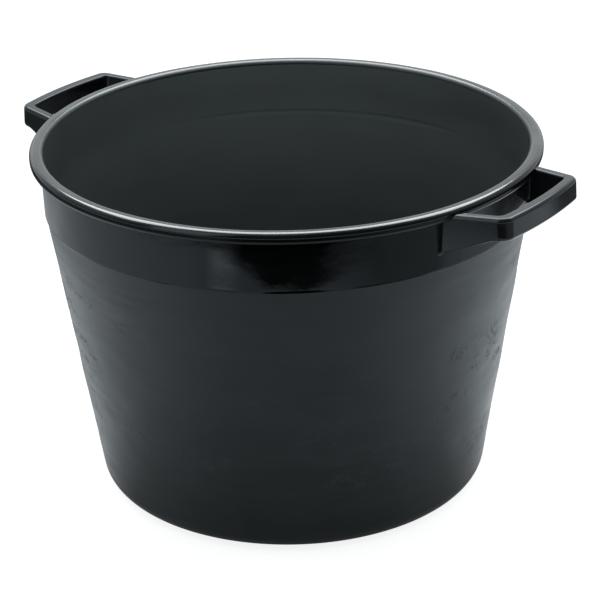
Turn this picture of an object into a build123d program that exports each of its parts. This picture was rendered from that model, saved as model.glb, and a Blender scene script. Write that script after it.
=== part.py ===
from build123d import *
import os
from math import sqrt

# Round cement tub in black polyethylene, with a stiff rim and two fixed
# carrying handles. Millimetres. The origin is the centre of the underside,
# +Z points up through the mouth, and the handles lie on +X and -X.

# ---------------------------------------------------------------- dimensions
RIM_D = 550.0            # outside diameter over the rim
TOP_Z = 388.0            # height to the top of the rim
WALL_T = 3.8             # wall of the cone and the collar

COLLAR_TOP_R = 264.2     # collar, outside, at its upper edge
COLLAR_BOT_R = 262.4     # collar, outside, at its lower edge
COLLAR_BOT_Z = 319.5     # lower edge of the collar, outside
COLLAR_STEP = 1.2        # the cone starts this far inside the collar
JOG_RISE = 2.4           # height of the sloping jog between cone and collar

CONE_FOOT_R = 212.3      # the cone's outside, carried down to the ground plane
HEEL_R = 22.0            # outside round between the cone and the underside
HEEL_IN_R = 17.0         # inside round between the cone and the floor
FLOOR_Z = 8.0            # top of the floor
RECESS_R = 164.0         # shallow recess in the underside, inside the heel ring
RECESS_H = 2.6
GATE_R = 9.0             # moulding gate mark in the middle of the recess
GATE_H = 1.2

RIM_H = 12.0             # height of the rim's outer face
SEAT_Z = TOP_Z - 5.6     # the wall's upper edge, where the rim sits on it
RIM_ROUND_OUT = 6.0
RIM_ROUND_IN = 5.0
RIM_ROUND_LOW = 3.4
HOOP_R = 268.5           # ring radius of the steel hoop
HOOP_Z = 380.2
HOOP_WIRE_R = 2.5
HOOP_PLAY = 0.05         # room between the wire and its groove
SLOT_HALF = 2.0          # half width of the slot that the wire snaps in through

GRIP_X = 323.2           # outer face of the grip, on the handle's centre line
GRIP_BOW_R = 451.0       # plan radius of the grip's outer face
GRIP_T = 13.0            # thickness of the grip in plan
ARM_T = 11.5             # thickness of the arms in plan
ARM_ROOT_X = 264.0       # where the arm's outer edge has its full spread
ARM_ROOT_Y = 82.5
ARM_TIP_X = 318.0
ARM_TIP_Y = 71.3
CORNER_OUT_R = 15.0      # plan rounds of the loop
CORNER_IN_R = 6.0
HANDLE_TOP_Z = TOP_Z - 5.0
HANDLE_H = 24.2          # height of the grip
HANDLE_TILT = 3.2        # degrees that the loop rises towards the grip
TILT_X = 280.0           # about this line, at the height of the loop's top
GUSSET_X = 302.0         # the arms deepen from here to the collar
GUSSET_FALL = 0.34       # slope of their lower edge
GUSSET_R = 30.0          # round between the grip's underside and that edge
EDGE_TOP = 4.5           # rounds along the handle's outer edges
EDGE_LOW = 4.2
EDGE_TOP_IN = 2.6        # and along those of its opening
EDGE_LOW_IN = 1.8

PAD_T = 5.0              # raised pad on the collar, from arm to arm
PAD_HALF_W = 80.0        # its ends lie inside the arms
PAD_BOT_Z = 347.0
PAD_CORNER_R = 7.0
PAD_EDGE = 1.5

RIM_R = RIM_D / 2
RIM_LOW_Z = TOP_Z - RIM_H


def collar_r(z):
    """Outside radius of the collar at height z."""
    t = (z - COLLAR_BOT_Z) / (SEAT_Z - COLLAR_BOT_Z)
    return COLLAR_BOT_R + (COLLAR_TOP_R - COLLAR_BOT_R) * t


def section(points):
    """Closed half section in radius and height, as a face in the XZ plane."""
    return make_face(Polyline(*points, close=True))


def round_at(face, spots):
    """Round the corners of a section that lie at the given spots."""
    for (x, y), r in spots:
        v = min(face.vertices(), key=lambda q: (q.X - x) ** 2 + (q.Y - y) ** 2)
        face = fillet(v, r)
    return face


def turned(face):
    return revolve(Plane.XZ * face, Axis.Z, 360)


# ------------------------------------------------------------------ tub body
cone_top_r = COLLAR_BOT_R - COLLAR_STEP
cone_top_z = COLLAR_BOT_Z - 0.6
cone_slope = (cone_top_r - CONE_FOOT_R) / cone_top_z
wall_in = WALL_T * sqrt(1 + cone_slope ** 2)
jog_in_z = COLLAR_BOT_Z + 3.4


def cone_r(z):
    return CONE_FOOT_R + cone_slope * z


body_pts = [
    (0.0, RECESS_H),
    (RECESS_R - RECESS_H * 1.5, RECESS_H),
    (RECESS_R, 0.0),
    (CONE_FOOT_R, 0.0),
    (cone_top_r, cone_top_z),
    (COLLAR_BOT_R, COLLAR_BOT_Z),
    (COLLAR_TOP_R, SEAT_Z),
    (COLLAR_TOP_R - WALL_T, SEAT_Z),
    (collar_r(jog_in_z) - WALL_T, jog_in_z),
    (cone_r(jog_in_z - JOG_RISE) - wall_in, jog_in_z - JOG_RISE),
    (cone_r(FLOOR_Z) - wall_in, FLOOR_Z),
    (0.0, FLOOR_Z),
]
body_face = round_at(section(body_pts), [
    ((CONE_FOOT_R, 0.0), HEEL_R),
    ((cone_r(FLOOR_Z) - wall_in, FLOOR_Z), HEEL_IN_R),
    ((COLLAR_BOT_R, COLLAR_BOT_Z), 0.5),
    ((collar_r(jog_in_z) - WALL_T, jog_in_z), 1.0),
    ((cone_r(jog_in_z - JOG_RISE) - wall_in, jog_in_z - JOG_RISE), 1.0),
])
tub_body = turned(body_face)

# Gate mark: a low round button in the recess, clear of the ground.
gate = Pos(0, 0, RECESS_H - GATE_H / 2) * Cylinder(GATE_R, GATE_H)
gate = gate + Pos(0, 0, RECESS_H - GATE_H - 0.4) * Cylinder(2.6, 0.8)
tub_body = tub_body + gate

# ------------------------------------------------------------------ rim ring
rim_face = section([
    (COLLAR_TOP_R - WALL_T, SEAT_Z),
    (COLLAR_TOP_R, SEAT_Z),
    (collar_r(RIM_LOW_Z), RIM_LOW_Z),
    (RIM_R, RIM_LOW_Z),
    (RIM_R, TOP_Z),
    (COLLAR_TOP_R - WALL_T, TOP_Z),
])
rim_face = round_at(rim_face, [
    ((RIM_R, TOP_Z), RIM_ROUND_OUT),
    ((COLLAR_TOP_R - WALL_T, TOP_Z), RIM_ROUND_IN),
    ((RIM_R, RIM_LOW_Z), RIM_ROUND_LOW),
])
groove = Pos(HOOP_R, HOOP_Z) * Circle(HOOP_WIRE_R + HOOP_PLAY)
slot_h = HOOP_Z - RIM_LOW_Z + 1.0
groove = groove + Pos(HOOP_R, HOOP_Z - slot_h / 2) * Rectangle(2 * SLOT_HALF, slot_h)
rim_ring = turned(rim_face - groove)

# -------------------------------------------------- steel hoop under the rim
rim_hoop = turned(Pos(HOOP_R, HOOP_Z) * Circle(HOOP_WIRE_R))

# ------------------------------------------------------------------- handles
arm_slope = (ARM_TIP_Y - ARM_ROOT_Y) / (ARM_TIP_X - ARM_ROOT_X)
arm_in = ARM_T * sqrt(1 + arm_slope ** 2)


def arm_y(x):
    """Half spread of the arms' outer edges at plan position x."""
    return ARM_ROOT_Y + arm_slope * (x - ARM_ROOT_X)


def loop_plan(x0, x1, inset, bow_r, bow_x, corner):
    """Plan of the loop: two splayed sides closed by a bowed end."""
    wedge = make_face(Polyline(
        (x0, -(arm_y(x0) - inset)), (x1, -(arm_y(x1) - inset)),
        (x1, arm_y(x1) - inset), (x0, arm_y(x0) - inset), close=True))
    plan = wedge & (Pos(bow_x - bow_r, 0) * Circle(bow_r))
    ends = sorted(plan.vertices(), key=lambda v: v.X)[-2:]
    return fillet(ends, corner)


def handle():
    outer = loop_plan(248.0, 340.0, 0.0, GRIP_BOW_R, GRIP_X, CORNER_OUT_R)
    inner = loop_plan(240.0, 340.0, arm_in, GRIP_BOW_R - GRIP_T,
                      GRIP_X - GRIP_T, CORNER_IN_R)
    low = HANDLE_TOP_Z - HANDLE_H
    root = low - GUSSET_FALL * (GUSSET_X - 236.0)
    side = make_face(Polyline(
        (236.0, root), (GUSSET_X, low), (345.0, low),
        (345.0, HANDLE_TOP_Z), (236.0, HANDLE_TOP_Z), close=True))
    side = round_at(side, [((GUSSET_X, low), GUSSET_R)])
    slab = extrude(Plane.XZ * side, 100, both=True)
    loop = Pos(0, 0, root - 5) * extrude(outer - inner, HANDLE_TOP_Z - root + 10) & slab

    def on_flank(e):
        """Is the edge one of those along the loop's inner and outer sides?"""
        box = e.bounding_box()
        return box.size.Y > 1.0 and box.max.X > 249.0 and not (
            box.size.X < 0.01 and abs(box.min.X - 248.0) < 0.01)

    def across(e):
        """Does the edge only cross an arm or the grip's underside?"""
        a, b = e.position_at(0), e.position_at(1)
        return abs(a.X - b.X) < 0.01 and abs(a.Z - b.Z) < 0.01 and e.bounding_box().size.X < 0.01

    def outside(e):
        """Does the edge run round the loop's outside, and not round its opening?"""
        p = e.position_at(0.5)
        bow = sqrt((p.X - GRIP_X + GRIP_BOW_R) ** 2 + p.Y ** 2) - GRIP_BOW_R
        return max(abs(p.Y) - arm_y(p.X), bow) > -6.0

    def top(e):
        return e.bounding_box().min.Z > HANDLE_TOP_Z - 0.01

    def bottom(e):
        return e.bounding_box().max.Z < low + 0.01

    for level, out, r in ((top, True, EDGE_TOP), (top, False, EDGE_TOP_IN),
                          (bottom, True, EDGE_LOW), (bottom, False, EDGE_LOW_IN)):
        loop = fillet([e for e in loop.edges() if on_flank(e) and not across(e)
                       and level(e) and outside(e) == out], r)
    loop = Pos(TILT_X, 0, HANDLE_TOP_Z) * Rot(0, -HANDLE_TILT, 0) * Pos(
        -TILT_X, 0, -HANDLE_TOP_Z) * loop

    # Raised pad, rounded at its lower corners, parallel to the collar.
    pad_h = RIM_LOW_Z - PAD_BOT_Z
    pad_plan = Pos(0, PAD_BOT_Z + pad_h / 2) * Rectangle(2 * PAD_HALF_W, pad_h)
    pad_low = sorted(pad_plan.vertices(), key=lambda v: v.Y)[:2]
    pad_plan = fillet(pad_low, PAD_CORNER_R)
    pad = extrude(Plane.YZ.offset(230.0) * pad_plan, 70)
    skin = turned(section([
        (0, PAD_BOT_Z - 5), (collar_r(PAD_BOT_Z - 5) + PAD_T, PAD_BOT_Z - 5),
        (collar_r(RIM_LOW_Z) + PAD_T, RIM_LOW_Z), (0, RIM_LOW_Z)]))
    pad = pad & skin
    pad_out = [e for e in pad.edges()
               if e.center().X > 240.0
               and abs(e.center().Z - RIM_LOW_Z) > 0.5
               and min(abs(sqrt(v.X ** 2 + v.Y ** 2) - collar_r(v.Z) - PAD_T)
                       for v in e.vertices()) < 0.05
               and max(abs(sqrt(v.X ** 2 + v.Y ** 2) - collar_r(v.Z) - PAD_T)
                       for v in e.vertices()) < 0.05]
    pad = fillet(pad_out, PAD_EDGE)

    # The arms butt against the rim's face and run in below it to the collar.
    rim_room = turned(section([
        (0, RIM_LOW_Z), (RIM_R, RIM_LOW_Z), (RIM_R, TOP_Z + 5), (0, TOP_Z + 5)]))
    core = turned(section([
        (0, 300), (collar_r(300), 300), (collar_r(TOP_Z), TOP_Z), (0, TOP_Z)]))
    return (loop + pad) - rim_room - core


handle_right = handle()
handle_left = Rot(0, 0, 180) * handle_right

# -------------------------------------------------------------------- output
os.makedirs("parts", exist_ok=True)
for name, shape in {
    "tub_body": tub_body,
    "rim_ring": rim_ring,
    "rim_hoop": rim_hoop,
    "handle_right": handle_right,
    "handle_left": handle_left,
}.items():
    export_step(shape, f"parts/{name}.step")
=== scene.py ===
"""Round black cement tub: the visible shells, their finish, the studio and the camera.

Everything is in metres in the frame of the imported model: the origin is the centre of the
underside, +Z points up through the mouth, and the handles lie on +X and -X. Sections and
plans below are worked in millimetres, as they are drawn.
"""
import math

import bpy
import numpy as np
from mathutils import Matrix, Vector


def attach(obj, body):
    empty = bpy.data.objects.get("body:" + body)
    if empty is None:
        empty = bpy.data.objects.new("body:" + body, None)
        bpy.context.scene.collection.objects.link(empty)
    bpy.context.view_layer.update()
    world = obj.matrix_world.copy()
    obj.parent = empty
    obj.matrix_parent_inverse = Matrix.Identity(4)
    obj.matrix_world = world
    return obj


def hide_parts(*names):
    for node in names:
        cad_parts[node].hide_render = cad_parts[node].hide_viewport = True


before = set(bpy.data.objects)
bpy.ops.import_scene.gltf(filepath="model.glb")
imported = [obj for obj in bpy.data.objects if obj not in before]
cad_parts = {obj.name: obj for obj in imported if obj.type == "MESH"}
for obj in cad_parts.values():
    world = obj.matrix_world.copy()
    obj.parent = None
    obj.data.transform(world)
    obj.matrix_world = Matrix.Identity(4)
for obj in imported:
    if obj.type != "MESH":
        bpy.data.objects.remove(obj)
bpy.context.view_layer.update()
MM = 0.001

# ------------------------------------------------------------------ dimensions, mm
RIM_R, TOP_Z, WALL = 275.0, 388.0, 3.8
COLLAR_TOP_R, COLLAR_BOT_R, COLLAR_BOT_Z = 264.2, 262.4, 319.5
CONE_FOOT_R, CONE_TOP_R, CONE_TOP_Z = 212.3, 261.2, 318.9
SEAT_Z, RIM_LOW_Z = 382.4, 376.0
FLOOR_Z, RECESS_R, RECESS_H = 8.0, 164.0, 2.6
HOOP_R, HOOP_Z, WIRE_R = 268.5, 380.2, 2.5
CONE_SLOPE = (CONE_TOP_R - CONE_FOOT_R) / CONE_TOP_Z
WALL_IN = WALL * math.sqrt(1 + CONE_SLOPE ** 2)


def collar_r(z):
    return COLLAR_BOT_R + (COLLAR_TOP_R - COLLAR_BOT_R) * (z - COLLAR_BOT_Z) / (SEAT_Z - COLLAR_BOT_Z)


def cone_r(z):
    return CONE_FOOT_R + CONE_SLOPE * z


# ------------------------------------------------------------------ mesh helpers
def make_object(name, verts, faces, mats, face_mat=None, uv=None):
    """A smooth-shaded mesh object from arrays in millimetres."""
    me = bpy.data.meshes.new(name)
    me.from_pydata((np.asarray(verts) * MM).tolist(), [], faces)
    for m in mats:
        me.materials.append(m)
    me.polygons.foreach_set("use_smooth", np.ones(len(me.polygons), bool))
    if face_mat is not None:
        me.polygons.foreach_set("material_index", np.asarray(face_mat, np.int32))
    if uv is not None:
        layer = me.uv_layers.new(name="OFBake")
        layer.uv.foreach_set("vector", np.asarray(uv, np.float32).ravel())
    me.update()
    ob = bpy.data.objects.new(name, me)
    bpy.context.scene.collection.objects.link(ob)
    return ob


def outline(corners, closed=False):
    """Points along a section given as (r, z, round, step, zone). Each corner is rounded with
    its radius, and the straight run that ends at it is cut into steps of at most step, with
    a point close to either end so that flats stay flat and edges stay crisp. A step of 0
    leaves the run whole, for points along a curve."""
    n = len(corners)
    ends = []
    for i, (r, z, rad, step, zone) in enumerate(corners):
        p = np.array((r, z), float)
        if rad <= 0 or (not closed and i in (0, n - 1)):
            ends.append((p, p, [p]))
            continue
        a = np.array(corners[i - 1][:2], float) - p
        b = np.array(corners[(i + 1) % n][:2], float) - p
        a, b = a / np.linalg.norm(a), b / np.linalg.norm(b)
        half = math.acos(np.clip(a @ b, -1, 1)) / 2
        run = rad / math.tan(half)
        mid = p + (a + b) / np.linalg.norm(a + b) * (rad / math.sin(half))
        t0, t1 = p + a * run, p + b * run
        turn = math.pi - 2 * half
        m = max(3, math.ceil(turn / math.radians(8 if rad > 1 else 20)))
        u, w = (t0 - mid) / rad, (t1 - mid) / rad
        arc = []
        for k in range(m + 1):
            f = k / m
            q = (u * math.sin((1 - f) * turn) + w * math.sin(f * turn)) / math.sin(turn)
            arc.append(mid + q * rad)
        ends.append((t0, t1, arc))
    pts, zones = [], []
    for i in range(n):
        zone, step = corners[i][4], corners[i][3]
        if i > 0 or closed:
            start, stop = ends[i - 1][1], ends[i][0]
            span = np.linalg.norm(stop - start)
            hold = 0.25 if span > 1.0 and step else 0.0
            m = max(1, math.ceil((span - 2 * hold) / step)) if step else 1
            for k in range(0 if hold else 1, m + 1 if hold else m):
                pts.append(start + (stop - start) * (hold + (span - 2 * hold) * k / m) / span)
                zones.append(zone)
        for q in ends[i][2]:
            pts.append(q)
            zones.append(zone)
    return np.array(pts), zones


def ramp(v, a, b):
    """Smooth step from 0 at a to 1 at b."""
    t = np.clip((v - a) / (b - a), 0.0, 1.0)
    return t * t * (3 - 2 * t)


def ripple(theta, s, seed, waves, rounds, length):
    """Smooth uneven waves over a wall: rounds is how many turns of wave fit round the tub,
    length the wave's height in mm. Its mean square is 1."""
    rng = np.random.default_rng(seed)
    out = 0.0
    for _ in range(waves):
        m = int(rng.integers(rounds[0], rounds[1] + 1))
        k = 2 * math.pi / rng.uniform(*length) * rng.choice((-1.0, 1.0))
        out = out + np.cos(m * theta + k * s + rng.uniform(0, 2 * math.pi))
    return out / math.sqrt(waves / 2)


def knocks(theta, s, seed, count, low, high):
    """Shallow knocks in a wall of about 240 mm radius, at most 1 deep, between two heights."""
    rng = np.random.default_rng(seed)
    out = np.zeros(np.broadcast(theta, s).shape)
    for _ in range(count):
        at, up = rng.uniform(-math.pi, math.pi), rng.uniform(low, high)
        wide, tall, deep = rng.uniform(7, 15), rng.uniform(4, 9), rng.uniform(0.25, 1.0)
        off = ((theta - at + math.pi) % (2 * math.pi) - math.pi) * 240.0
        rise = s - up + 0.35 * rng.choice((-1.0, 1.0)) * off
        out = out - deep * np.exp(-0.5 * ((off / wide) ** 2 + (rise / tall) ** 2))
    return np.maximum(out, -1.2)


def lathe(name, pts, zones, seg, mats, islands, closed=False, wave=None):
    """Turns a section about the axis. The section runs out along the underside, up the
    outside and down the inside, so the faces point outward. islands gives each zone's place
    in the map: (kind, u0, v0, width, height)."""
    n = len(pts)
    theta = np.arange(seg) * 2 * math.pi / seg
    nxt = np.roll(pts, -1, 0) if closed else np.vstack((pts[1:], pts[-1:]))
    prv = np.roll(pts, 1, 0) if closed else np.vstack((pts[:1], pts[:-1]))
    run = nxt - prv
    run /= np.maximum(np.linalg.norm(run, axis=1), 1e-9)[:, None]
    nrm = np.stack((run[:, 1], -run[:, 0]), 1)
    off = np.zeros((n, seg)) if wave is None else wave(theta[None, :], pts, zones)
    rr = pts[:, :1] + off * nrm[:, :1]
    zz = pts[:, 1:] + off * nrm[:, 1:]
    pole = pts[:, 0] < 1e-6
    verts, first = [], []
    count = 0
    for i in range(n):
        first.append(count)
        if pole[i]:
            verts.append(np.array([[0.0, 0.0, pts[i, 1]]]))
            count += 1
        else:
            verts.append(np.stack((rr[i] * np.cos(theta), rr[i] * np.sin(theta), zz[i]), 1))
            count += seg
    verts = np.concatenate(verts)
    length = np.concatenate(([0], np.cumsum(np.linalg.norm(np.diff(pts, axis=0), axis=1))))
    total = length[-1] + np.linalg.norm(pts[0] - pts[-1])
    names = list(dict.fromkeys(zones))
    span = {}
    for z in names:
        rows = [i for i in range(n) if zones[i] == z]
        lo = length[max(rows[0] - 1, 0)] if not (closed and rows[0] == 0) else -np.linalg.norm(pts[0] - pts[-1])
        span[z] = (lo, length[rows[-1]], max(pts[max(rows[0] - 1, 0):rows[-1] + 1, 0]))
    faces, face_mat, uv = [], [], []
    mat_of = {z: islands[z][0] for z in names}

    def place(zone, i, j, s):
        _, kind, u0, v0, w, h = islands[zone]
        lo, hi, far = span[zone]
        if kind == "disc":
            k = pts[i, 0] / far / 2
            a = 2 * math.pi * j / seg
            return (u0 + w * (0.5 + k * math.cos(a)), v0 + h * (0.5 + k * math.sin(a)))
        return (u0 + w * j / seg, v0 + h * (s - lo) / max(hi - lo, 1e-9))

    bands = n if closed else n - 1
    for b in range(bands):
        i, k = b, (b + 1) % n
        zone = zones[k]
        s0, s1 = length[i], length[k]
        if closed and k == 0:
            s0 = -np.linalg.norm(pts[0] - pts[-1])
        for j in range(seg):
            j2 = (j + 1) % seg
            if pole[i]:
                faces.append((first[i], first[k] + j2, first[k] + j))
                uv += [place(zone, i, j + 0.5, s0), place(zone, k, j + 1, s1), place(zone, k, j, s1)]
            elif pole[k]:
                faces.append((first[i] + j, first[i] + j2, first[k]))
                uv += [place(zone, i, j, s0), place(zone, i, j + 1, s0), place(zone, k, j + 0.5, s1)]
            else:
                faces.append((first[i] + j, first[i] + j2, first[k] + j2, first[k] + j))
                uv += [place(zone, i, j, s0), place(zone, i, j + 1, s0),
                       place(zone, k, j + 1, s1), place(zone, k, j, s1)]
            face_mat.append(mat_of[zone])
    return make_object(name, verts, faces, mats, face_mat, uv)


# ------------------------------------------------------------------ materials
class Nodes:
    """A node tree built up in code."""

    def __init__(self, owner):
        owner.use_nodes = True
        self.nt = owner.node_tree
        self.nt.nodes.clear()

    def new(self, kind):
        return self.nt.nodes.new(kind)

    def link(self, a, b):
        self.nt.links.new(a, b)

    def put(self, socket, value):
        if isinstance(value, bpy.types.NodeSocket):
            self.link(value, socket)
        else:
            socket.default_value = value

    def dot(self, v, along):
        n = self.new("ShaderNodeVectorMath")
        n.operation = "DOT_PRODUCT"
        self.link(v, n.inputs[0])
        n.inputs[1].default_value = along
        return n.outputs["Value"]

    def span(self, v, a, b, lo=0.0, hi=1.0, smooth=False):
        n = self.nt.nodes.new("ShaderNodeMapRange")
        n.interpolation_type = "SMOOTHSTEP" if smooth else "LINEAR"
        self.link(v, n.inputs["Value"])
        n.inputs["From Min"].default_value = a
        n.inputs["From Max"].default_value = b
        n.inputs["To Min"].default_value = lo
        n.inputs["To Max"].default_value = hi
        return n.outputs[0]

    def math(self, op, a, b=0.0):
        n = self.nt.nodes.new("ShaderNodeMath")
        n.operation = op
        self.put(n.inputs[0], a)
        self.put(n.inputs[1], b)
        return n.outputs[0]

    def blend(self, f, a, b):
        n = self.new("ShaderNodeMixShader")
        self.put(n.inputs[0], f)
        self.link(a, n.inputs[1])
        self.link(b, n.inputs[2])
        return n.outputs[0]


class Graph(Nodes):
    """A node material with one Principled shader."""

    def __init__(self, name, **sockets):
        self.mat = bpy.data.materials.new(name)
        super().__init__(self.mat)
        self.out = self.nt.nodes.new("ShaderNodeOutputMaterial")
        self.bsdf = self.nt.nodes.new("ShaderNodeBsdfPrincipled")
        self.link(self.bsdf.outputs[0], self.out.inputs[0])
        for k, v in sockets.items():
            self.bsdf.inputs[k.replace("_", " ")].default_value = v
        self.where = self.nt.nodes.new("ShaderNodeTexCoord").outputs["Object"]

    def scaled(self, x, y, z, turn=(0, 0, 0)):
        n = self.nt.nodes.new("ShaderNodeMapping")
        self.link(self.where, n.inputs["Vector"])
        n.inputs["Scale"].default_value = (x, y, z)
        n.inputs["Rotation"].default_value = turn
        return n.outputs[0]

    def noise(self, at, scale=1.0, detail=3.0, rough=0.5, twist=0.0):
        n = self.nt.nodes.new("ShaderNodeTexNoise")
        self.link(at, n.inputs["Vector"])
        n.inputs["Scale"].default_value = scale
        n.inputs["Detail"].default_value = detail
        n.inputs["Roughness"].default_value = rough
        n.inputs["Distortion"].default_value = twist
        return n.outputs["Fac"]

    def cells(self, at, scale, feature="DISTANCE_TO_EDGE"):
        n = self.nt.nodes.new("ShaderNodeTexVoronoi")
        n.feature = feature
        self.link(at, n.inputs["Vector"])
        n.inputs["Scale"].default_value = scale
        return n.outputs["Distance"]

    def mix(self, f, a, b):
        n = self.nt.nodes.new("ShaderNodeMix")
        n.data_type = "RGBA"
        self.put(n.inputs["Factor"], f)
        self.put(n.inputs[6], a)
        self.put(n.inputs[7], b)
        return n.outputs[2]

    def axis(self, which):
        n = self.nt.nodes.new("ShaderNodeSeparateXYZ")
        self.link(self.where, n.inputs[0])
        return n.outputs[which]

    def radius(self):
        """Distance from the tub's axis."""
        n = self.nt.nodes.new("ShaderNodeVectorMath")
        n.operation = "LENGTH"
        self.link(self.scaled(1, 1, 0), n.inputs[0])
        return n.outputs["Value"]

    def attribute(self, name):
        n = self.nt.nodes.new("ShaderNodeAttribute")
        n.attribute_name = name
        return n.outputs["Fac"]

    def bump(self, height, distance, strength=1.0, under=None):
        n = self.nt.nodes.new("ShaderNodeBump")
        n.inputs["Distance"].default_value = distance
        n.inputs["Strength"].default_value = strength
        self.link(height, n.inputs["Height"])
        if under is not None:
            self.link(under, n.inputs["Normal"])
        return n.outputs[0]

    def finish(self, colour, rough, normal=None):
        self.link(colour, self.bsdf.inputs["Base Color"])
        self.link(rough, self.bsdf.inputs["Roughness"])
        if normal is not None:
            self.link(normal, self.bsdf.inputs["Normal"])
        return self.mat


SHEEN = (0.90, 1.0, 1.05, 1.0)
DULL = (0.86, 1.0, 1.0)


def tone(v, tint=(0.84, 1.0, 1.04)):
    return (v * tint[0], v * tint[1], v * tint[2], 1.0)


def satin_wall():
    """Outside of the cone: satin, with cloudy flow marks drawn out round the wall."""
    g = Graph("pe_cone_satin", IOR=1.5, Specular_Tint=SHEEN)
    flow = g.noise(g.scaled(5, 5, 46), 1.0, 4.0, 0.55, 0.7)
    cloud = g.noise(g.where, 17.0, 4.0, 0.6, 0.4)
    grain = g.noise(g.where, 900.0, 2.0, 0.6)
    hair = g.noise(g.scaled(30, 30, 900), 1.0, 3.0, 0.6)
    both = g.math("ADD", g.math("MULTIPLY", flow, 0.6), g.math("MULTIPLY", cloud, 0.4))
    colour = g.mix(g.span(both, 0.35, 0.65), tone(0.0045), tone(0.0075))
    rough = g.span(both, 0.34, 0.66, 0.29, 0.38)
    rough = g.math("ADD", rough, g.span(hair, 0.45, 0.75, 0.0, 0.03))
    z = g.axis(2)
    rubbed = g.noise(g.scaled(9, 9, 14), 1.0, 2.0, 0.5, 0.3)
    scrape = g.noise(g.scaled(70, 70, 105, (0.35, 0.3, 0.0)), 1.0, 5.0, 0.62, 0.9)
    scuff = g.math("MULTIPLY", g.span(scrape, 0.52, 0.66), g.span(rubbed, 0.50, 0.60))
    scuff = g.math("MULTIPLY", scuff, g.math("MULTIPLY", g.span(z, 0.03, 0.09), g.span(z, 0.24, 0.31, 1.0, 0.0)))
    colour = g.mix(scuff, colour, tone(0.0085))
    rough = g.math("ADD", rough, g.math("MULTIPLY", scuff, 0.20))
    n = g.bump(cloud, 0.0010, 0.10)
    n = g.bump(scuff, 0.0006, 0.35, n)
    n = g.bump(grain, 0.00006, 0.25, n)
    return g.finish(colour, rough, n)


def gloss_collar():
    """Outside of the collar: polished in the mould, with a faint orange peel and smears."""
    g = Graph("pe_collar_gloss", IOR=1.5, Specular_Tint=SHEEN)
    smear = g.noise(g.scaled(7, 7, 34), 1.0, 4.0, 0.6, 0.8)
    peel = g.noise(g.where, 150.0, 2.0, 0.5)
    hair = g.noise(g.scaled(24, 24, 1100), 1.0, 3.0, 0.6)
    colour = g.mix(g.span(smear, 0.3, 0.7), tone(0.0004), tone(0.0008))
    rough = g.span(smear, 0.32, 0.68, 0.05, 0.085)
    rough = g.math("ADD", rough, g.span(hair, 0.5, 0.8, 0.0, 0.03))
    n = g.bump(peel, 0.0004, 0.10)
    return g.finish(colour, rough, n)


def satin_inside():
    """Inside: a duller satin with soft mottling."""
    g = Graph("pe_inside_satin", IOR=1.5, Specular_Tint=SHEEN)
    flow = g.noise(g.scaled(6, 6, 30), 1.0, 4.0, 0.55, 0.8)
    cloud = g.noise(g.where, 22.0, 4.0, 0.6, 0.3)
    grain = g.noise(g.where, 700.0, 2.0, 0.6)
    both = g.math("ADD", g.math("MULTIPLY", flow, 0.5), g.math("MULTIPLY", cloud, 0.5))
    colour = g.mix(g.span(both, 0.35, 0.65), tone(0.0262, DULL), tone(0.0338, DULL))
    rough = g.span(both, 0.34, 0.66, 0.60, 0.70)
    n = g.bump(cloud, 0.0010, 0.08)
    n = g.bump(grain, 0.00008, 0.3, n)
    return g.finish(colour, rough, n)


def rim_plastic():
    """Rim: smooth, rubbed a little lighter and duller along its crown, and as dull as the
    inside of the tub on its inner face."""
    g = Graph("pe_rim", IOR=1.5, Specular_Tint=SHEEN)
    z = g.axis(2)
    crown = g.span(z, 0.3835, 0.3879, 0.0, 1.0, True)
    rub = g.noise(g.scaled(16, 16, 90), 1.0, 5.0, 0.65, 0.5)
    hair = g.noise(g.scaled(40, 40, 1400), 1.0, 3.0, 0.6)
    worn = g.math("MULTIPLY", crown, g.span(rub, 0.42, 0.66))
    colour = g.mix(worn, tone(0.002), tone(0.010))
    rough = g.math("ADD", g.span(rub, 0.3, 0.7, 0.11, 0.16), g.math("MULTIPLY", worn, 0.05))
    rough = g.math("ADD", rough, g.span(hair, 0.5, 0.8, 0.0, 0.03))
    inner = g.span(g.radius(), 0.2644, 0.2614, 0.0, 1.0, True)
    colour = g.mix(inner, colour, tone(0.022))
    rough = g.math("ADD", rough, g.math("MULTIPLY", inner, 0.36))
    low = g.span(z, 0.3802, 0.3778, 0.0, 1.0, True)
    rough = g.math("ADD", rough, g.math("MULTIPLY", low, 0.24))
    n = g.bump(rub, 0.0003, 0.12)
    return g.finish(colour, rough, n)


def handle_plastic():
    """Handles: satin with a fine grain, rubbed along the edges that hands touch."""
    g = Graph("pe_handle", IOR=1.5, Specular_Tint=SHEEN)
    cloud = g.noise(g.where, 45.0, 4.0, 0.6, 0.3)
    grain = g.noise(g.where, 620.0, 2.0, 0.6)
    worn = g.math("MULTIPLY", g.attribute("wear"), g.span(cloud, 0.35, 0.65, 0.3, 1.0))
    colour = g.mix(g.span(cloud, 0.35, 0.65), tone(0.0038), tone(0.0062))
    colour = g.mix(worn, colour, tone(0.012))
    rough = g.math("SUBTRACT", g.span(cloud, 0.34, 0.66, 0.11, 0.16), g.math("MULTIPLY", worn, 0.04))
    n = g.bump(grain, 0.00010, 0.35)
    return g.finish(colour, rough, n)


def hoop_steel():
    """Drawn steel wire, faintly streaked along its length."""
    g = Graph("hoop_wire_steel", Metallic=1.0)
    streak = g.noise(g.scaled(12, 12, 1600), 1.0, 3.0, 0.6)
    cloud = g.noise(g.where, 60.0, 3.0, 0.5)
    colour = g.mix(g.span(cloud, 0.35, 0.65), (0.36, 0.36, 0.35, 1), (0.50, 0.50, 0.49, 1))
    rough = g.span(streak, 0.35, 0.7, 0.24, 0.40)
    return g.finish(colour, rough)


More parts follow.
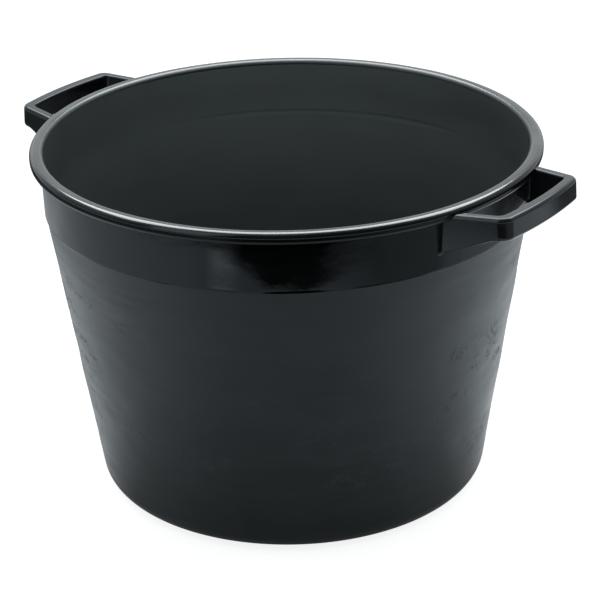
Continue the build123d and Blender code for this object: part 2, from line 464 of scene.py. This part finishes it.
# ------------------------------------------------------------------ tub shell
def build_tub():
    def inner_r(z, soft=2.57):
        a, b = collar_r(z) - WALL, cone_r(z) - WALL_IN
        return min(a, b) - max(soft - abs(a - b), 0) ** 2 / (4 * soft)

    bend = [346.0, 343.0, 340.0, 337.0, 334.0, 332.0]
    bend += [331.0 - 0.9 * k for k in range(16)] + [315.0, 312.0, 308.0]
    corners = [
        (0.0, 0.6, 0, 2, "under"),
        (2.6, 0.6, 0.3, 2, "under"),
        (2.6, 1.4, 0.3, 2, "under"),
        (9.0, 1.4, 0.3, 3, "under"),
        (9.0, 2.6, 0.4, 2, "under"),
        (RECESS_R - RECESS_H * 1.5, RECESS_H, 2.0, 11, "under"),
        (RECESS_R, 0.0, 2.0, 3, "under"),
        (CONE_FOOT_R, 0.0, 22.0, 8, "under"),
        (CONE_TOP_R, CONE_TOP_Z, 0.25, 3.0, "cone"),
        (COLLAR_BOT_R, COLLAR_BOT_Z, 0.5, 1, "cone"),
        (COLLAR_TOP_R, SEAT_Z, 0, 2.5, "collar"),
        (COLLAR_TOP_R - WALL, SEAT_Z, 0, 4, "collar"),
        (inner_r(349.5), 349.5, 0, 4, "inside"),
        *((inner_r(z), z, 0, 0, "inside") for z in bend),
        (cone_r(FLOOR_Z) - WALL_IN, FLOOR_Z, 17.0, 6.0, "inside"),
        (0.0, FLOOR_Z, 0, 12, "floor"),
    ]
    pts, zones = outline(corners)

    def wave(theta, pts, zones):
        z = pts[:, 1:]
        zone = np.array(zones)
        flow = ripple(theta, z, 11, 40, (2, 14), (9, 34))
        slow = ripple(theta, z, 12, 26, (3, 16), (45, 160))
        peel = ripple(theta, z, 13, 40, (8, 40), (18, 70))
        patch = 0.55 + 0.45 * ripple(theta, z, 14, 14, (2, 9), (90, 260)).clip(-1.2, 1.2)
        amp_cone = np.where(zone == "cone", 1.0, 0.0)[:, None]
        amp_col = np.where(zone == "collar", 1.0, 0.0)[:, None]
        amp_in = np.where(zone == "inside", 1.0, 0.0)[:, None]
        ease = np.interp(pts[:, 1], [0, 6, 40, 300, 317, 319, 323, 366, 374, 382.4],
                         [0, 0, 1, 1, 0.3, 0.2, 1, 1, 0.2, 0])[:, None]
        dents = knocks(theta, z, 15, 190, 45.0, 285.0)
        off = amp_cone * (0.060 * flow * patch + 0.16 * slow + 0.30 * dents)
        off = off + amp_col * (0.016 * peel + 0.045 * slow)
        off = off + amp_in * (0.030 * flow * patch + 0.08 * slow)
        # a faint sink line inside, behind the collar's step, deepest on one side
        sink = ramp(z, 320.5, 325.5) * ramp(z, 328.5, 325.5)
        sink = sink * (0.1 + 0.9 * ramp(0.912 * np.sin(theta) - 0.409 * np.cos(theta), 0.74, 0.88))
        return off * ease - amp_in * 0.30 * sink

    mats = [satin_wall(), gloss_collar(), satin_inside()]
    islands = {
        "cone": (0, "strip", 0.005, 0.005, 0.99, 0.215),
        "collar": (1, "strip", 0.005, 0.230, 0.99, 0.050),
        "inside": (2, "strip", 0.005, 0.290, 0.99, 0.250),
        "floor": (2, "disc", 0.005, 0.560, 0.43, 0.43),
        "under": (0, "disc", 0.500, 0.560, 0.43, 0.43),
    }
    return lathe("tub_shell", pts, zones, 300, mats, islands, wave=wave)


# ------------------------------------------------------------------ rim and hoop
def build_rim():
    half = 2.0
    g = WIRE_R + 0.05
    drop = math.sqrt(g * g - half * half)
    corners = [
        (HOOP_R + half, RIM_LOW_Z, 0.5, 2, "rim"),
        (RIM_R, RIM_LOW_Z, 3.4, 2, "rim"),
        (RIM_R, TOP_Z, 6.0, 1.5, "rim"),
        (COLLAR_TOP_R - WALL, TOP_Z, 5.0, 1.5, "rim"),
        (COLLAR_TOP_R - WALL, SEAT_Z, 0, 1.5, "rim"),
        (COLLAR_TOP_R, SEAT_Z, 0, 2, "rim"),
        (collar_r(RIM_LOW_Z), RIM_LOW_Z, 0, 3, "rim"),
        (HOOP_R - half, RIM_LOW_Z, 0.5, 2, "rim"),
        (HOOP_R - half, HOOP_Z - drop, 0, 2, "rim"),
    ]
    a0 = math.atan2(-drop, -half)
    a1 = math.atan2(-drop, half)
    turn = -(2 * math.pi - (a1 - a0))
    for k in range(1, 25):
        a = a0 + turn * k / 24
        corners.append((HOOP_R + g * math.cos(a), HOOP_Z + g * math.sin(a), 0, 9, "rim"))
    pts, zones = outline(corners, closed=True)

    def wave(theta, pts, zones):
        lift = ripple(theta, pts[:, 1:] * 0, 21, 10, (2, 7), (60, 200))
        fine = ripple(theta, pts[:, 1:], 22, 24, (10, 46), (30, 90))
        free = np.interp(pts[:, 1], [382.8, 385.0], [0, 1])
        outer = np.where((pts[:, 0] > 272.5) & (pts[:, 1] > 377.5), 0.6, 0.0)
        sink = np.minimum(0.07 * lift + 0.03 * fine - 0.12, -0.01)
        return np.maximum(free, outer)[:, None] * sink

    return lathe("rim_bead", pts, zones, 400, [rim_plastic()],
                 {"rim": (0, "strip", 0.005, 0.005, 0.99, 0.99)}, closed=True, wave=wave)


def build_hoop():
    pts = np.array([(HOOP_R + WIRE_R * math.cos(a), HOOP_Z + WIRE_R * math.sin(a))
                    for a in np.arange(24) * 2 * math.pi / 24])
    return lathe("hoop_wire", pts, ["wire"] * 24, 320, [hoop_steel()],
                 {"wire": (0, "strip", 0.005, 0.005, 0.99, 0.99)}, closed=True)


# ------------------------------------------------------------------ handles
GRIP_X, BOW_R, GRIP_T, ARM_T = 323.15, 451.0, 13.0, 11.5
ARM_ROOT, ARM_TIP = (264.0, 82.5), (318.0, 71.3)
H_TOP, H_LOW = 383.0, 358.8
TILT, TILT_X = math.radians(3.2), 280.0
GUSSET_X, GUSSET_FALL = 302.0, 0.34
PAD_T, PAD_W, PAD_LOW, PAD_R = 5.0, 80.0, 347.0, 7.0


def meet(a, b, r):
    """Overlap of two fields with the edge between them rounded."""
    u, v = np.maximum(r + a, 0), np.maximum(r + b, 0)
    return np.minimum(-r, np.maximum(a, b)) + np.hypot(u, v)


def join(a, b, r):
    """Sum of two fields with the corner between them filled."""
    u, v = np.maximum(r - a, 0), np.maximum(r - b, 0)
    return np.maximum(r, np.minimum(a, b)) - np.hypot(u, v)


def rounded_box(x, y, x0, x1, y0, y1, r):
    cx, cy, hx, hy = (x0 + x1) / 2, (y0 + y1) / 2, (x1 - x0) / 2 - r, (y1 - y0) / 2 - r
    dx, dy = np.abs(x - cx) - hx, np.abs(y - cy) - hy
    return np.hypot(np.maximum(dx, 0), np.maximum(dy, 0)) + np.minimum(np.maximum(dx, dy), 0) - r


def handle_field(p):
    """Signed distance, near enough, from the handle's skin: below zero inside."""
    x, y, z = p[..., 0], p[..., 1], p[..., 2]
    u = TILT_X + (x - TILT_X) * math.cos(TILT) + (z - H_TOP) * math.sin(TILT)
    w = H_TOP - (x - TILT_X) * math.sin(TILT) + (z - H_TOP) * math.cos(TILT)
    slope = (ARM_TIP[1] - ARM_ROOT[1]) / (ARM_TIP[0] - ARM_ROOT[0])
    lean = 1 / math.sqrt(1 + slope * slope)
    side = (np.abs(y) - (ARM_ROOT[1] + slope * (u - ARM_ROOT[0]))) * lean
    bow = np.hypot(u - (GRIP_X - BOW_R), y) - BOW_R
    outer = meet(side, bow, 9.9)
    inner = meet(side + ARM_T, bow + GRIP_T, 4.0)
    top, flat = w - H_TOP, H_LOW - w
    deep = (H_LOW - GUSSET_FALL * (GUSSET_X - u) - w) / math.sqrt(1 + GUSSET_FALL ** 2)
    under = np.minimum(flat, deep) - np.maximum(1.9 - np.abs(flat - deep), 0) ** 2 / 7.6
    low_r = np.interp(u, [GUSSET_X - 26.0, GUSSET_X + 2.0], [1.6, 4.2])
    loop = np.maximum(meet(meet(outer, top, 4.5), under, low_r),
                      meet(meet(-inner, top, 2.6), under, 1.2))

    rho = np.hypot(x, y)
    wall = collar_r(z)
    face = rounded_box(y, z, -PAD_W, PAD_W, PAD_LOW, PAD_LOW + 120, PAD_R)
    pad = meet(rho - wall - PAD_T, face, 1.5)
    pad = np.maximum(pad, z - (RIM_LOW_Z + 1.2))
    whole = join(loop, pad, 2.0)
    whole = join(whole, rho - (wall - 1.25), 4.5)        # bead of the weld along the collar

    core = rho - (wall - 1.2)
    rim = rounded_box(rho, z, 2 * 255.0 - (RIM_R - 1.0), RIM_R - 1.0, RIM_LOW_Z + 1.0, TOP_Z + 12, 2.6)
    crown = np.hypot(np.maximum(rho - (RIM_R - 6.0), 0), np.maximum(z - (TOP_Z - 6.0), 0)) - 5.0
    rim = np.maximum(rim, np.minimum(crown, 50.0))
    whole = np.maximum(whole, -core)
    return np.maximum(whole, -rim)


def surface_net(field, lo, hi, h):
    """Quads over the zero level of a field, drawn tight onto it."""
    axes = [np.arange(a, b + h, h) for a, b in zip(lo, hi)]
    grid = np.stack(np.meshgrid(*axes, indexing="ij"), -1)
    f = field(grid)
    solid = f < 0
    nx, ny, nz = (len(a) - 1 for a in axes)

    def corner(a, o):
        return a[o[0]:o[0] + nx, o[1]:o[1] + ny, o[2]:o[2] + nz]

    offs = [(i, j, k) for i in (0, 1) for j in (0, 1) for k in (0, 1)]
    total = sum(corner(solid, o).astype(np.int8) for o in offs)
    live = (total > 0) & (total < 8)
    cells = np.argwhere(live)
    index = np.full(live.shape, -1, np.int64)
    index[live] = np.arange(len(cells))
    acc, cnt = np.zeros((len(cells), 3)), np.zeros(len(cells))
    for a in offs:
        for ax in range(3):
            if a[ax]:
                continue
            b = tuple(v + (q == ax) for q, v in enumerate(a))
            fa, fb = corner(f, a)[live], corner(f, b)[live]
            cut = (fa < 0) != (fb < 0)
            t = np.where(cut, fa / np.where(cut, fa - fb, 1.0), 0.0)
            pos = np.array(a, float)[None, :] + t[:, None] * np.eye(3)[ax][None, :]
            acc[cut] += pos[cut]
            cnt[cut] += 1
    verts = np.array(lo) + (cells + acc / cnt[:, None]) * h
    quads = []
    for ax in range(3):
        u, v = (ax + 1) % 3, (ax + 2) % 3
        s0 = [slice(None)] * 3
        s1 = [slice(None)] * 3
        s0[ax], s1[ax] = slice(0, -1), slice(1, None)
        a, b = solid[tuple(s0)], solid[tuple(s1)]
        hit = np.argwhere(a != b)
        lim = [nx, ny, nz]
        ok = np.ones(len(hit), bool)
        for q in (u, v):
            ok &= (hit[:, q] > 0) & (hit[:, q] < lim[q])
        hit = hit[ok]
        up = a[tuple(hit.T)]
        q = []
        for du, dv in ((1, 1), (0, 1), (0, 0), (1, 0)):
            c = hit.copy()
            c[:, u] -= du
            c[:, v] -= dv
            q.append(index[tuple(c.T)])
        q = np.stack(q, 1)
        q[~up] = q[~up][:, ::-1]
        quads.append(q)
    quads = np.concatenate(quads)
    for _ in range(4):
        d = field(verts)
        e = 0.05
        grad = np.stack([(field(verts + e * np.eye(3)[q]) - field(verts - e * np.eye(3)[q])) / (2 * e)
                         for q in range(3)], 1)
        g2 = np.maximum((grad ** 2).sum(1), 0.25)
        verts = verts - (d / g2).clip(-h, h)[:, None] * grad
    return verts, quads


def convexity(verts, quads):
    """How sharply the skin bends outward at each vertex, 0 to 1."""
    nrm = np.zeros_like(verts)
    a, b, c, d = (verts[quads[:, k]] for k in range(4))
    fn = np.cross(c - a, d - b)
    for k in range(4):
        np.add.at(nrm, quads[:, k], fn)
    nrm /= np.maximum(np.linalg.norm(nrm, axis=1), 1e-12)[:, None]
    bend, cnt = np.zeros(len(verts)), np.zeros(len(verts))
    for k in range(4):
        p, q = quads[:, k], quads[:, (k + 1) % 4]
        along = verts[q] - verts[p]
        size = np.maximum((along ** 2).sum(1), 1e-9)
        w = ((nrm[q] - nrm[p]) * along).sum(1) / size
        np.add.at(bend, p, w)
        np.add.at(bend, q, w)
        np.add.at(cnt, p, 1)
        np.add.at(cnt, q, 1)
    bend /= np.maximum(cnt, 1)
    for _ in range(3):
        acc, cnt = bend.copy(), np.ones(len(verts))
        for k in range(4):
            p, q = quads[:, k], quads[:, (k + 1) % 4]
            np.add.at(acc, p, bend[q])
            np.add.at(cnt, p, 1)
        bend = acc / cnt
    return (bend / 0.20).clip(0, 1)


def build_handles():
    h = 0.85
    verts, quads = surface_net(handle_field, (244.5, -92.0, 334.0), (328.0, 92.0, 388.0), h)
    wear = convexity(verts, quads)
    mat = handle_plastic()
    made = []
    for name, turn in (("handle_loop_right", 1.0), ("handle_loop_left", -1.0)):
        v = verts * np.array((turn, turn, 1.0))
        ob = make_object(name, v, quads.tolist(), [mat])
        layer = ob.data.attributes.new("wear", "FLOAT", "POINT")
        layer.data.foreach_set("value", wear.astype(np.float32))
        made.append(ob)
    return made


# ------------------------------------------------------------------ assembly
tub = build_tub()
rim = build_rim()
hoop = build_hoop()
right, left = build_handles()
for piece, node, slot in ((tub, "tub_body", "black_pe"), (rim, "rim_ring", "black_pe_rim"),
                          (hoop, "rim_hoop", "hoop_steel"), (right, "handle_right", "black_pe_handle"),
                          (left, "handle_left", "black_pe_handle")):
    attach(piece, "root")
    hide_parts(node)


# ------------------------------------------------------------------ camera
AZ, EL, ROLL = math.radians(36.2), math.radians(24.197), math.radians(-1.316)
RIGHT = Vector((math.cos(AZ), math.sin(AZ), 0))
AHEAD = Vector((-math.sin(AZ) * math.cos(EL), math.cos(AZ) * math.cos(EL), -math.sin(EL)))
FRONT = Vector((math.sin(AZ), -math.cos(AZ), 0))     # level, from the tub towards the camera


def add_camera():
    up = RIGHT.cross(AHEAD)
    at = RIGHT * 0.010765 + Vector((0, 0, 0.194971)) - AHEAD * 2.494445
    r2 = RIGHT * math.cos(ROLL) + up * math.sin(ROLL)
    u2 = up * math.cos(ROLL) - RIGHT * math.sin(ROLL)
    cam = bpy.data.cameras.new("camera")
    cam.sensor_width = 36.0
    cam.lens = 2253.272 / 600 * 36
    cam.clip_end = 80
    ob = bpy.data.objects.new("camera", cam)
    ob.matrix_world = Matrix(((r2.x, u2.x, -AHEAD.x, at.x), (r2.y, u2.y, -AHEAD.y, at.y),
                              (r2.z, u2.z, -AHEAD.z, at.z), (0, 0, 0, 1)))
    bpy.context.scene.collection.objects.link(ob)
    bpy.context.scene.camera = ob


# ------------------------------------------------------------------ studio
FLOOR_GLOW = 0.84                       # the floor's own light, over what falls on it
WORLD_SIDE, WORLD_FRONT = 0.75, 0.08
COOL = (0.95, 1.0, 1.03, 1)


def flat_plane(name, corners, mat):
    me = bpy.data.meshes.new(name)
    me.from_pydata([tuple(c) for c in corners], [], [tuple(range(len(corners)))])
    me.materials.append(mat)
    ob = bpy.data.objects.new(name, me)
    bpy.context.scene.collection.objects.link(ob)
    return ob


def studio_floor():
    """Pale seamless floor, lit from below like a light table, so the tub's shadow is faint."""
    m = bpy.data.materials.new("studio_floor")
    g = Nodes(m)
    matt = g.new("ShaderNodeBsdfDiffuse")
    matt.inputs[0].default_value = (0.80, 0.80, 0.80, 1)
    glow = g.new("ShaderNodeEmission")
    glow.inputs["Strength"].default_value = FLOOR_GLOW
    both = g.new("ShaderNodeAddShader")
    g.link(matt.outputs[0], both.inputs[0])
    g.link(glow.outputs[0], both.inputs[1])
    g.link(both.outputs[0], g.new("ShaderNodeOutputMaterial").inputs[0])
    n, r = 96, 40.0
    return flat_plane("studio_floor", [(r * math.cos(2 * math.pi * k / n), r * math.sin(2 * math.pi * k / n), 0.0)
                                       for k in range(n)], m)


def painted_reflection_card():
    """A dark card just over the floor, which only reflections see: it is painted shade in the tub's reflections,
    standing in for a dark room in front. It is thin beside the tub and thicker in front, thickest close to
    the foot, where it is a painted contact shadow in the mirrored floor. From 0.9 m out it is solid in
    front, where the polished collar mirrors it as the black patch at its middle. It is nearly solid
    too where the rim's edge and the far ends of the handles mirror it, as painted shade."""
    m = bpy.data.materials.new("painted_reflection_card")
    g = Nodes(m)
    where = g.new("ShaderNodeTexCoord").outputs["Object"]
    ahead, across = g.dot(where, FRONT), g.dot(where, RIGHT)
    size = g.new("ShaderNodeVectorMath")
    size.operation = "LENGTH"
    g.link(where, size.inputs[0])
    far = size.outputs["Value"]
    way = g.math("DIVIDE", ahead, far)
    turn = g.math("DIVIDE", across, ahead)
    ease = g.span(way, 0.0, 0.85)
    out = g.math("MULTIPLY", g.span(far, 0.62, 0.86), g.math("SUBTRACT", 1.0, ease))
    right = g.math("MULTIPLY", g.span(across, 0.25, 0.55), g.span(far, 0.70, 0.85))
    right = g.math("MULTIPLY", right, g.span(ahead, 0.20, 0.42))
    wedge = g.math("MULTIPLY", g.span(ahead, 0.12, -0.12), g.span(across, 0.50, 0.60))
    wedge = g.math("MULTIPLY", wedge, g.math("MULTIPLY", g.span(far, 0.90, 0.95), g.span(far, 1.06, 1.16, 1.0, 0.0)))
    flank = g.math("MULTIPLY", g.span(ahead, 0.33, 0.24), g.span(across, 0.60, 0.70))
    flank = g.math("MULTIPLY", flank, g.math("MULTIPLY", g.span(far, 0.80, 0.84), g.span(far, 0.92, 0.95, 1.0, 0.0)))
    tip = g.math("MULTIPLY", g.span(ahead, -0.20, -0.34), g.math("MULTIPLY", g.span(across, 0.76, 0.84), g.span(far, 0.92, 0.97)))
    tip = g.math("ADD", tip, g.math("MULTIPLY", g.span(across, -0.65, -0.85), g.span(far, 1.20, 1.26)))
    aim = g.math("DIVIDE", turn, g.span(far, 0.89, 1.0, 0.40, 1.15))
    window = g.math("MULTIPLY", g.span(aim, -0.58, -0.28), g.span(aim, 0.25, 0.62, 1.0, 0.0))
    patch = g.math("MULTIPLY", window, g.span(far, 0.865, 0.915, 0.0, 1.0, True))
    patch = g.math("MULTIPLY", patch, g.span(ahead, 0.30, 0.50))
    # painted contact shadow: the card darkens the mirrored floor close to the tub's foot
    foot = g.math("MULTIPLY", g.span(far, 0.23, 0.47, 1.0, 0.0), g.span(way, -0.2, 0.5))
    ring = g.math("MULTIPLY", g.span(far, 1.02, 1.08), g.span(far, 1.18, 1.28, 1.0, 0.0))
    beside = g.math("DIVIDE", across, far)
    ring = g.math("MULTIPLY", ring, g.span(beside, 0.58, 0.84, 1.0, 0.0))
    ring = g.math("MULTIPLY", ring, g.span(beside, -0.45, -0.70, 0.70, 0.96))
    lift = g.math("MULTIPLY", g.span(turn, -0.66, -0.54), g.span(turn, -0.44, -0.34, 1.0, 0.0))
    lift = g.math("MULTIPLY", lift, g.math("MULTIPLY", g.span(far, 0.86, 0.92), g.span(ahead, 0.30, 0.50)))
    lift = g.math("MULTIPLY", lift, g.span(far, 1.02, 1.08, 1.0, 0.0))
    # each part below paints darker or clearer patches into the floor as the tub mirrors it: painted reflections and
    # shade
    level = g.span(ease, 0.0, 1.0, 1.0, 0.52)
    for part in (g.span(way, -0.95, -0.6, 0.55, 1.0), g.span(way, 0.75, 0.98, 1.0, 0.72),
                 g.span(foot, 0.0, 1.0, 1.0, 0.40), g.span(across, -0.4, -0.1, 0.88, 1.0),
                 g.span(out, 0.0, 1.0, 1.0, 0.62), g.span(right, 0.0, 1.0, 1.0, 0.42),
                 g.span(wedge, 0.0, 1.0, 1.0, 0.05), g.span(flank, 0.0, 1.0, 1.0, 0.73),
                 g.span(tip, 0.0, 1.0, 1.0, 0.16),
                 g.span(patch, 0.0, 1.0, 1.0, 0.0), g.span(ring, 0.0, 1.0, 1.0, 0.0),
                 g.span(lift, 0.0, 1.0, 1.0, 2.2)):
        level = g.math("MULTIPLY", level, part)
    level = g.math("MULTIPLY", level, g.span(far, 1.7, 2.5, 1.0, 0.0))
    level = g.math("ADD", level, g.span(far, 1.7, 2.5, 0.0, 0.6))
    corner = g.math("MULTIPLY", g.span(ahead, -0.5, -1.0), g.span(across, -0.4, -0.8))
    level = g.math("MULTIPLY", level, g.span(corner, 0.0, 1.0, 1.0, 0.35))
    clear, dark = g.new("ShaderNodeBsdfTransparent"), g.new("ShaderNodeBsdfDiffuse")
    dark.inputs[0].default_value = (0.004, 0.004, 0.004, 1)
    clear.inputs[0].default_value = (0.918, 0.972, 1.0, 1)
    g.link(g.blend(level, dark.outputs[0], clear.outputs[0]), g.new("ShaderNodeOutputMaterial").inputs[0])
    n, r = 96, 8.0
    ob = flat_plane("painted_reflection_card", [(r * math.cos(2 * math.pi * k / n), r * math.sin(2 * math.pi * k / n), 0.002)
                                   for k in range(n)], m)
    for k in ("visible_camera", "visible_diffuse", "visible_shadow", "visible_transmission", "visible_volume_scatter"):
        setattr(ob, k, False)
    return ob


def soft_light(name, at, aim, wide, high, radiance, lit, colour=COOL):
    """A softbox of the given size and radiance, set to light only the pieces in lit."""
    lamp = bpy.data.lights.new(name, "AREA")
    lamp.shape = "RECTANGLE"
    lamp.size, lamp.size_y = wide, high
    lamp.energy = radiance * math.pi * wide * high
    lamp.color = colour[:3]
    ob = bpy.data.objects.new(name, lamp)
    at, aim = Vector(at), Vector(aim)
    back = (at - aim).normalized()
    level = RIGHT if abs(back.dot(RIGHT)) < 0.3 else Vector((0, 0, 1)).cross(back).normalized()
    up = back.cross(level)
    ob.matrix_world = Matrix(((level.x, up.x, back.x, at.x), (level.y, up.y, back.y, at.y),
                              (level.z, up.z, back.z, at.z), (0, 0, 0, 1)))
    ob.visible_camera = False
    bpy.context.scene.collection.objects.link(ob)
    group = bpy.data.collections.new(name + "_lights")
    for piece in lit:
        group.objects.link(piece)
    ob.light_linking.receiver_collection = group
    return ob


def studio_world():
    """White all round as the background. As a light it is duller low in front, where a
    room is, than behind and above."""
    world = bpy.data.worlds.new("studio")
    bpy.context.scene.world = world
    g = Nodes(world)
    way = g.new("ShaderNodeTexCoord").outputs["Generated"]
    front = g.span(g.dot(way, FRONT), -0.1, 0.5, 0.0, 1.0, True)
    low = g.span(g.dot(way, (0, 0, 1)), 0.85, 0.99, 1.0, 0.0, True)
    flank = g.math("MULTIPLY", g.span(g.dot(way, FRONT), -0.75, -0.35), g.span(g.dot(way, (0, 0, 1)), 0.25, 0.6, 1.0, 0.0))
    level = g.span(g.math("MULTIPLY", front, low), 0.0, 1.0, WORLD_SIDE, WORLD_FRONT)
    level = g.math("MULTIPLY", level, g.span(flank, 0.0, 1.0, 1.0, 0.45))
    lit, seen = g.new("ShaderNodeBackground"), g.new("ShaderNodeBackground")
    lit.inputs[0].default_value = COOL
    g.link(level, lit.inputs[1])
    seen.inputs[1].default_value = 1.05
    seen.inputs[0].default_value = (1, 1, 1, 1)
    ray = g.new("ShaderNodeLightPath").outputs["Is Camera Ray"]
    g.link(g.blend(ray, lit.outputs[0], seen.outputs[0]), g.new("ShaderNodeOutputWorld").inputs[0])


add_camera()
floor = studio_floor()
painted_reflection_card()
studio_world()
Z = Vector((0, 0, 1))
soft_light("front_softbox", FRONT * 3.0 + Z * 1.2, Z * 0.3, 7.0, 1.6, 2.0, [tub, hoop])
soft_light("top_softbox", FRONT * 0.25 + Z * 2.2, FRONT * 0.25, 1.5, 1.2, 4.6, [tub, hoop])
WHITE = (1.0, 0.99, 0.98)
soft_light("over_softbox", FRONT * -1.15 + Z * 2.2, FRONT * -1.15, 3.4, 2.2, 10.8, [rim], WHITE)
soft_light("grip_softbox", FRONT * -1.15 + Z * 2.2, FRONT * -1.15, 3.4, 2.2, 4.1, [right, left])
soft_light("back_softbox", FRONT * -2.6 + Z * 1.5, Z * 0.388, 5.0, 1.7, 0.45, [rim], WHITE)
soft_light("back_grip_softbox", FRONT * -2.6 + Z * 1.5, Z * 0.388, 5.0, 1.7, 0.28, [right, left])
soft_light("side_softbox", (FRONT - RIGHT) * 1.45 + Z * 1.6, Z * 0.388, 1.1, 2.2, 1.0, [rim, right, left])
soft_light("left_softbox", RIGHT * -2.4 + Z * 1.6, Z * 0.25, 2.0, 1.6, 1.2, [tub, hoop])
soft_light("right_softbox", RIGHT * 2.4 + Z * 1.6, Z * 0.25, 2.0, 1.6, 1.2, [tub, hoop])

bpy.context.scene.view_settings.view_transform = "Standard"
bpy.context.scene.view_settings.look = "None"
